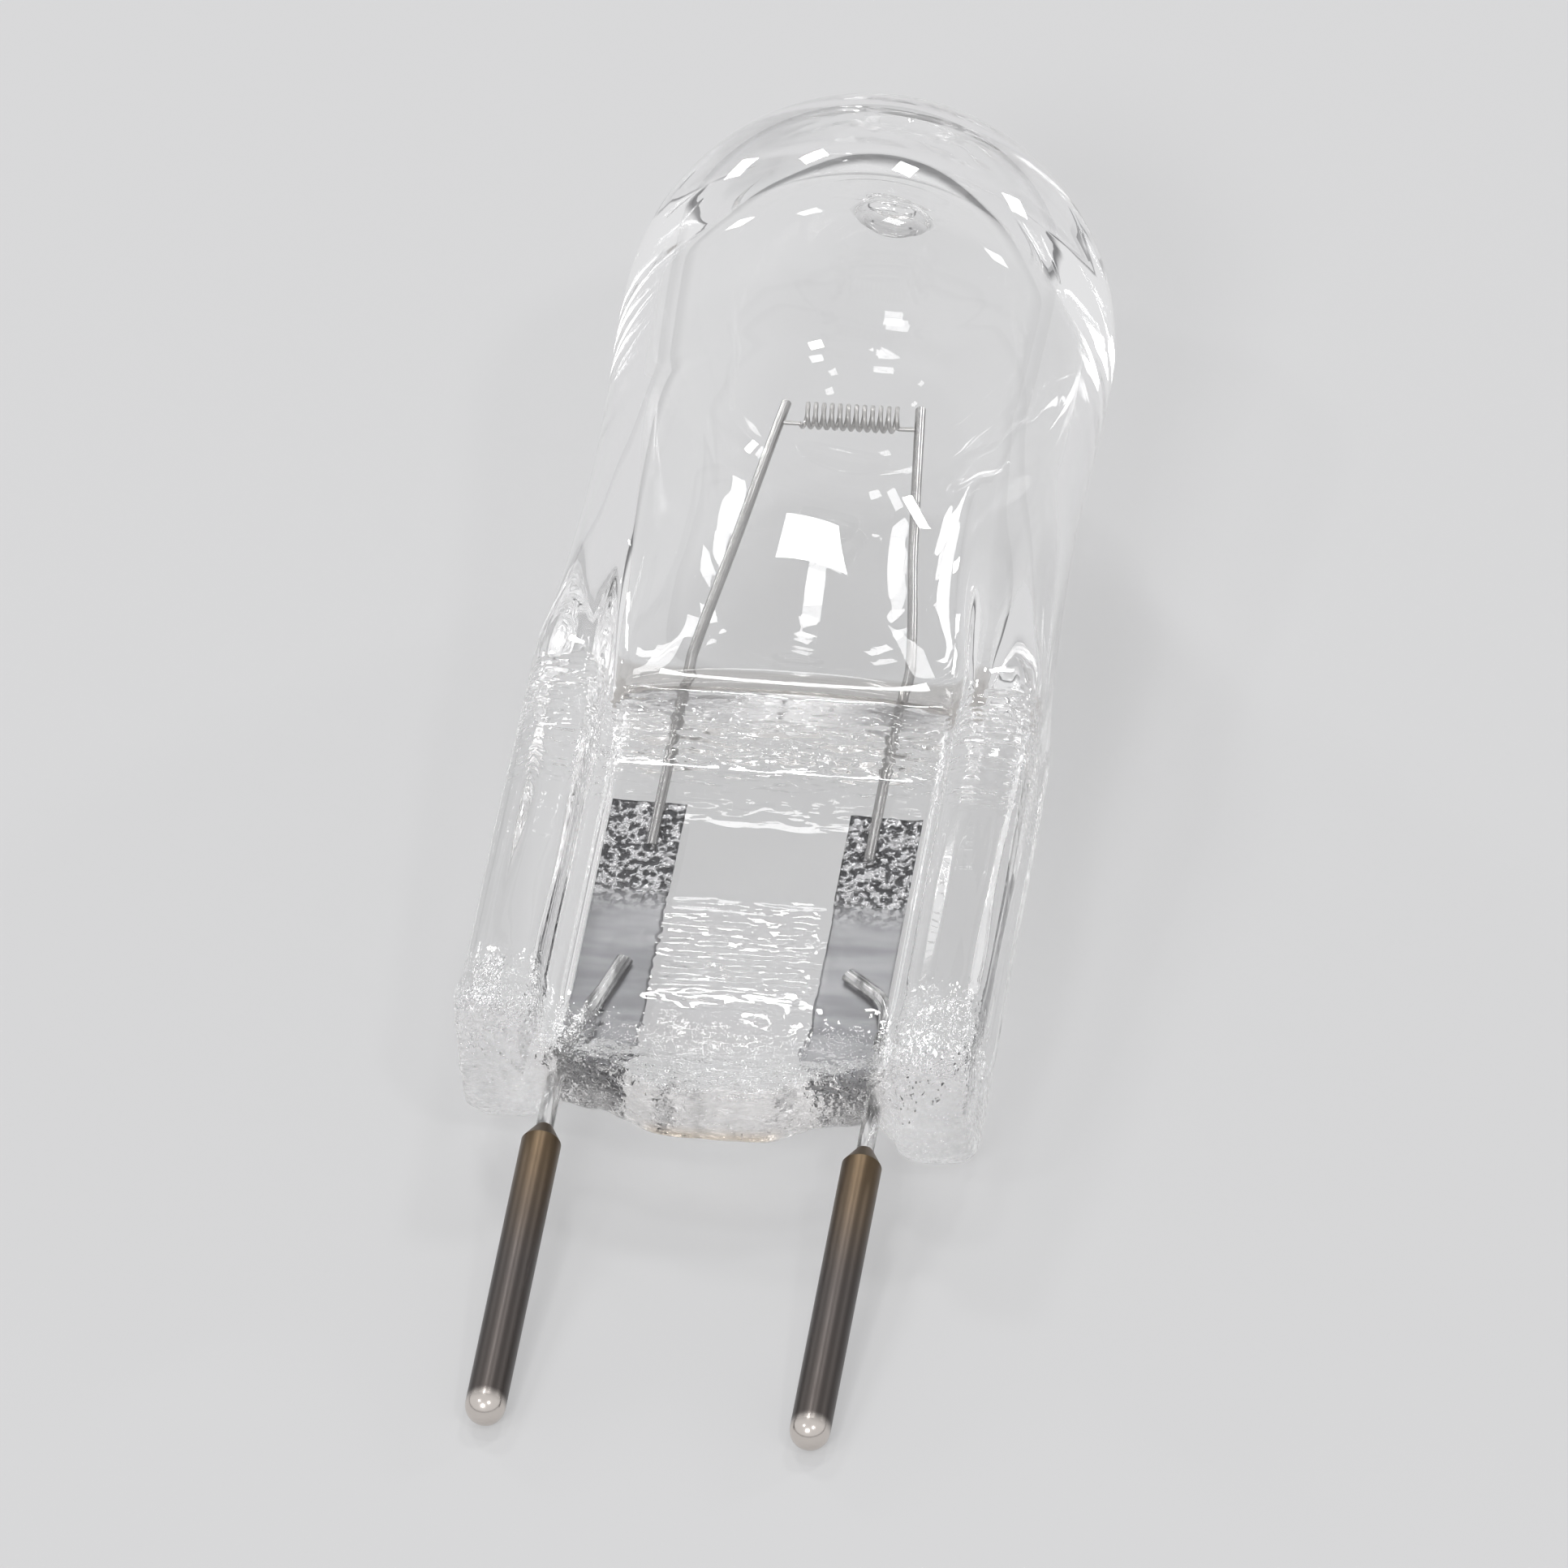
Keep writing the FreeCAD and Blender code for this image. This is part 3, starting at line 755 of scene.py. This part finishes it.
def foil_points(middle, half_width):
    """Points of the front and the back of one foil, row by row."""
    sheets = []
    for side in (-1, 1):
        for v in (-1 + 2 * j / (FOIL_ROWS - 1) for j in range(FOIL_ROWS)):
            creased = float(smooth((v - WRINKLE_START) / WRINKLE_FADE))
            creased = FLAT_SHARE + (1 - FLAT_SHARE) * creased
            s = middle[2] + v * FOIL_HALF_LENGTH
            for i in range(FOIL_COLUMNS):
                x = middle[0] + (-1 + 2 * i / (FOIL_COLUMNS - 1)) * half_width
                dent = 0.07 * wave(1.6 * x, 1.6 * s, 0, 7) + 0.05 * wave(3.7 * x, 3.7 * s, 0, 17)
                sheets.append((x, middle[1] + side * FOIL_HALF_THICK + creased * dent, s))
    return sheets


def foil_faces():
    """Faces of the front, the back and the thin edge between them."""
    size = FOIL_COLUMNS * FOIL_ROWS
    faces = []
    for j in range(FOIL_ROWS - 1):
        for i in range(FOIL_COLUMNS - 1):
            a = j * FOIL_COLUMNS + i
            quad = (a, a + 1, a + 1 + FOIL_COLUMNS, a + FOIL_COLUMNS)
            faces += [quad, tuple(size + k for k in quad[::-1])]
    edge = list(range(FOIL_COLUMNS))
    edge += [j * FOIL_COLUMNS + FOIL_COLUMNS - 1 for j in range(1, FOIL_ROWS)]
    edge += [(FOIL_ROWS - 1) * FOIL_COLUMNS + i for i in range(FOIL_COLUMNS - 2, -1, -1)]
    edge += [j * FOIL_COLUMNS for j in range(FOIL_ROWS - 2, 0, -1)]
    faces += [(b, a, size + a, size + b) for a, b in zip(edge, edge[1:] + edge[:1])]
    return faces


# %% Build the foils
def crinkled_foil(node):
    """A crinkled foil in the place of a plain strip."""
    low, high = (np.array(corner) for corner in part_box(node))
    middle = bulb_points((low + high) / 2)
    half_width = (high[0] - low[0]) / MM / 2
    piece = new_mesh(node + "_crinkled", table_points(foil_points(middle, half_width)), foil_faces())
    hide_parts(node)
    return piece


foils = [crinkled_foil(node) for node in ("foil_left", "foil_right")]
print("foil faces", [len(piece.data.polygons) for piece in foils])

# %% [markdown]
# ## Foil metal
# Molybdenum foil is grey and half matt. The glitter of its creased upper part is painted into its colour:
# a light painted glint with dark flecks of painted shade, while its lower part shows faint bands across.
# Noise cut to a sharp step gives the flecks.

# %% Foil finish
FOIL_DARK, FOIL_LIGHT = grey(0.26, 0.01), grey(0.42, 0.01)
# Painted glint and painted shade for the glitter of the creased foil.
FLECK_SHADE, FLECK_GLINT = grey(0.08, 0.005), grey(0.62, 0.01)
FLECK_HEIGHT = 0.00012

material, shader, place = new_finish("molybdenum_foil")
across, behind, along = bulb_place(place)
creased = along.step(16.2, 17.4)
speckle = grain(place, 5400, 1.0)
shade_flecks = creased * speckle.step(0.44, 0.56)
bands = grain(joined(across * 0.2, behind, along), 1.4, 2.0)
plain = bands.step(0.3, 0.7).mix(FOIL_DARK, FOIL_LIGHT)
# The creased part is painted light as a glint, with flecks of painted shade.
feed(shade_flecks.mix(creased.mix(plain, FLECK_GLINT), FLECK_SHADE), shader, "Base Color")
shader.inputs["Metallic"].default_value = 1.0
feed(0.38 - creased * 0.14, shader, "Roughness")
bump_sockets = {"Strength": 1.0, "Distance": FLECK_HEIGHT, "Height": creased * speckle}
feed(place.node("ShaderNodeBump", {}, bump_sockets), shader, "Normal")
for piece in foils:
    dress(piece, material)
print("foil finish on", [piece.name for piece in foils])

# %% [markdown]
# ## Wires and coil
# The inner leads are drawn wire, dull and finely streaked. Low in the seal the glass has wetted the
# outer leads, so they are brighter there and patchy. The tungsten coil has a light, even tone.

# %% Wire and coil finishes
DULL_DARK, DULL_LIGHT = (0.34, 0.335, 0.33, 1), (0.48, 0.475, 0.47, 1)
BRIGHT_DARK, BRIGHT_LIGHT = grey(0.30), grey(0.80)
COIL_DARK, COIL_LIGHT = (0.46, 0.45, 0.44, 1), (0.66, 0.65, 0.64, 1)

material, shader, place = new_finish("bright_wire")
across, behind, along = bulb_place(place)
wetted = 1 - along.step(15.0, 16.0)
streak = grain(joined(across, behind, along * 0.25), 4.0, 2.0)
dull = streak.mix(DULL_DARK, DULL_LIGHT)
bright = streak.step(0.4, 0.6).mix(BRIGHT_DARK, BRIGHT_LIGHT)
feed(wetted.mix(dull, bright), shader, "Base Color")
shader.inputs["Metallic"].default_value = 1.0
feed(0.22 - wetted * 0.14, shader, "Roughness")
leads = ("outer_lead_left", "outer_lead_right", "inner_lead_left", "inner_lead_right")
for node in leads:
    dress(frame["nodes"][node], material)

material, shader, place = new_finish("tungsten_coil")
feed(grain(place, 2400, 2.0).mix(COIL_DARK, COIL_LIGHT), shader, "Base Color")
shader.inputs["Metallic"].default_value = 1.0
shader.inputs["Roughness"].default_value = 0.32
dress(frame["nodes"]["filament"], material)
print("wire finish on", leads, "and coil finish on the filament")

# %% [markdown]
# ## Pins
# The pins were drawn and then heated with the glass, so they are dark, browner towards the seal and a
# little blotchy. Their round tips are painted light, a painted highlight where the light catches them.

# %% Pin finish
PIN_COOL, PIN_WARM = (0.085, 0.076, 0.072, 1), (0.15, 0.105, 0.062, 1)
# The light tip colour is a painted highlight.
PIN_BLOTCH, PIN_TIP_HIGHLIGHT = (0.05, 0.042, 0.038, 1), (0.70, 0.65, 0.61, 1)

material, shader, place = new_finish("heated_pin")
along = bulb_place(place)[2]
blotch = grain(place, 700, 3.0)
tip = 1 - along.step(0.35, 0.75)
body = along.step(4.5, 9.0).mix(PIN_COOL, PIN_WARM)
body = (blotch * 0.5).mix(body, PIN_BLOTCH)
# The round tips take a painted highlight.
feed(tip.mix(body, PIN_TIP_HIGHLIGHT), shader, "Base Color")
shader.inputs["Metallic"].default_value = 1.0
feed(0.26 + blotch * 0.12 - tip * 0.14, shader, "Roughness")
for node in ("pin_left", "pin_right"):
    dress(frame["nodes"][node], material)
print("materials", sorted(m.name for m in bpy.data.materials))

# %% [markdown]
# ## Table
# The bulb lies on a plain pale surface. One wide square is enough: the camera sees only its middle. For
# the rays that make the picture, part of its tone is an even glow, which keeps the table level from
# side to side and leaves the bulb's soft shadow on it.

# %% Table
TABLE_HALF = 1.5
TABLE_TONE, GLOW_TONE, GLOW_SHARE = grey(0.72, 0.005), grey(0.665, 0.005), 0.55

mesh = bpy.data.meshes.new("table")
corners = [(x * TABLE_HALF, y * TABLE_HALF, 0) for x, y in ((-1, -1), (1, -1), (1, 1), (-1, 1))]
mesh.from_pydata(corners, [], [(0, 1, 2, 3)])
table = bpy.data.objects.new("table", mesh)
bpy.context.scene.collection.objects.link(table)


def seen_ray(tree):
    """One for rays from the camera, or from metal and glass that mirror or pass the view."""
    rays = [Wire(tree).node("ShaderNodeLightPath", output=name)
            for name in ("Is Camera Ray", "Is Glossy Ray", "Is Transmission Ray")]
    return rays[0].maths("MINIMUM", rays[0] + rays[1] + rays[2], 1.0)


material, shader, place = new_finish("pale_table")
tree = material.node_tree
shader.inputs["Base Color"].default_value = TABLE_TONE
shader.inputs["Roughness"].default_value = 1.0
shader.inputs["Specular IOR Level"].default_value = 0.0
glow = place.node("ShaderNodeEmission", {}, {"Color": GLOW_TONE, "Strength": 1.0})
lit_parts = {0: seen_ray(tree) * GLOW_SHARE, 1: Wire(tree, shader.outputs[0]), 2: glow}
feed(place.node("ShaderNodeMixShader", {}, lit_parts), tree.nodes["Material Output"], "Surface")
dress(table, material)
print("table", 2 * TABLE_HALF, "m wide")

# %% [markdown]
# ## Sky
# Soft light comes from all round, as in a tent of white cloth, darker low down where the cloth ends.
# The table is lit by an even sky, while glass and metal look into the tent, so its cloth is drawn only
# for the rays that leave them or come straight from the camera.

# %% Sky
CLOTH_END, CLOTH_START = 0.03, 0.12
BELOW_CLOTH, CLOTH, EVEN_SKY = grey(0.18, 0.005), grey(0.78, 0.005), grey(0.42, 0.005)

world = bpy.data.worlds.new("tent")
bpy.context.scene.world = world
world.use_nodes = True
world.cycles.sampling_method = "NONE"
tree = world.node_tree
direction = Wire(tree).node("ShaderNodeTexCoord", output="Generated")
cloth = direction.dot((0, 0, 1)).step(CLOTH_END, CLOTH_START).mix(BELOW_CLOTH, CLOTH)
feed(seen_ray(tree).mix(EVEN_SKY, cloth), tree.nodes["Background"], "Color")
print("sky", world.name)

# %% [markdown]
# ## Lamps
# Small panels of light stand round the bulb. Each shows as a bright window in the dome, the tube or the
# flare, and together they give clear glass its edges and sparkle. Seen along the straight tube some
# places would smear a panel into a long streak, so the panels stand clear of those.

# %% Lamps
PANELS = {
    "window_panel": ((-0.09, -0.71, 0.55), 0.20, 0.15, 2.0),
    "right_panel": ((0.35, -0.38, 0.61), 0.07, 0.06, 0.6),
    "left_panel": ((-0.36, -0.30, 0.65), 0.045, 0.045, 0.3),
    "overhead_panel": ((-0.11, 0.25, 0.64), 0.06, 0.06, 0.4),
    "back_panel": ((0.10, 0.42, 0.54), 0.08, 0.08, 0.6),
    "back_left_panel": ((-0.245, 0.46, 0.46), 0.09, 0.07, 0.6),
    "low_left_panel": ((-0.50, 0.58, 0.25), 0.10, 0.10, 0.6),
    "low_right_panel": ((0.48, 0.58, 0.26), 0.10, 0.10, 0.6),
}


def panel(name, place, width, height, energy):
    """A rectangle of soft light that looks at the bulb."""
    data = bpy.data.lights.new(name, "AREA")
    data.shape = "RECTANGLE"
    data.size, data.size_y, data.energy = width, height, energy
    lamp = bpy.data.objects.new(name, data)
    lamp.location = place
    lamp.rotation_euler = (-Vector(place)).to_track_quat("-Z", "Y").to_euler()
    bpy.context.scene.collection.objects.link(lamp)
    return lamp


lamps = [panel(name, *facts) for name, facts in PANELS.items()]
print("panels", len(lamps))

# %% [markdown]
# ## Light inside the glass
# A ray that enters the quartz may be turned back by its walls many times before it leaves. If it is
# given up too soon, thick places turn black, so the count of turns is raised for glass. Matt surfaces
# need only one, which saves time.

# %% Turns of a ray
GLASS_TURNS, MATT_TURNS = 64, 1

cycles = bpy.context.scene.cycles
cycles.max_bounces = cycles.glossy_bounces = cycles.transmission_bounces = GLASS_TURNS
cycles.diffuse_bounces = MATT_TURNS
print("turns", cycles.max_bounces)

# %% [markdown]
# ## Camera
# The view is from the pins' side, well above the table, through a long lens that keeps the bulb's sides
# almost parallel. Its place is given by two angles, a small roll, a distance and a point to aim at.

# %% Camera
IMAGE_WIDTH, FOCAL_PIXELS, SENSOR = 1932, 21168, 36.0
AZIMUTH, ELEVATION, ROLL = (math.radians(a) for a in (10.965, 37.682, 2.694))
DISTANCE, AIM = 0.420, Vector((0.00174, -0.00878, 0.01071))
NEAREST = 0.01

level = math.cos(ELEVATION)
back = Vector((math.sin(AZIMUTH) * level, -math.cos(AZIMUTH) * level, math.sin(ELEVATION)))
right = Vector((math.cos(AZIMUTH), math.sin(AZIMUTH), 0))
axes = Matrix((right, back.cross(right), back)).transposed() @ Matrix.Rotation(-ROLL, 3, "Z")
camera_data = bpy.data.cameras.new("camera")
camera_data.sensor_width = SENSOR
camera_data.lens = SENSOR * FOCAL_PIXELS / IMAGE_WIDTH
camera_data.clip_start = NEAREST
camera = bpy.data.objects.new("camera", camera_data)
camera.matrix_world = Matrix.Translation(AIM + back * DISTANCE) @ axes.to_4x4()
bpy.context.scene.collection.objects.link(camera)
bpy.context.scene.camera = camera
bpy.context.scene.view_settings.view_transform = "Standard"
print("lens", round(camera_data.lens, 1))
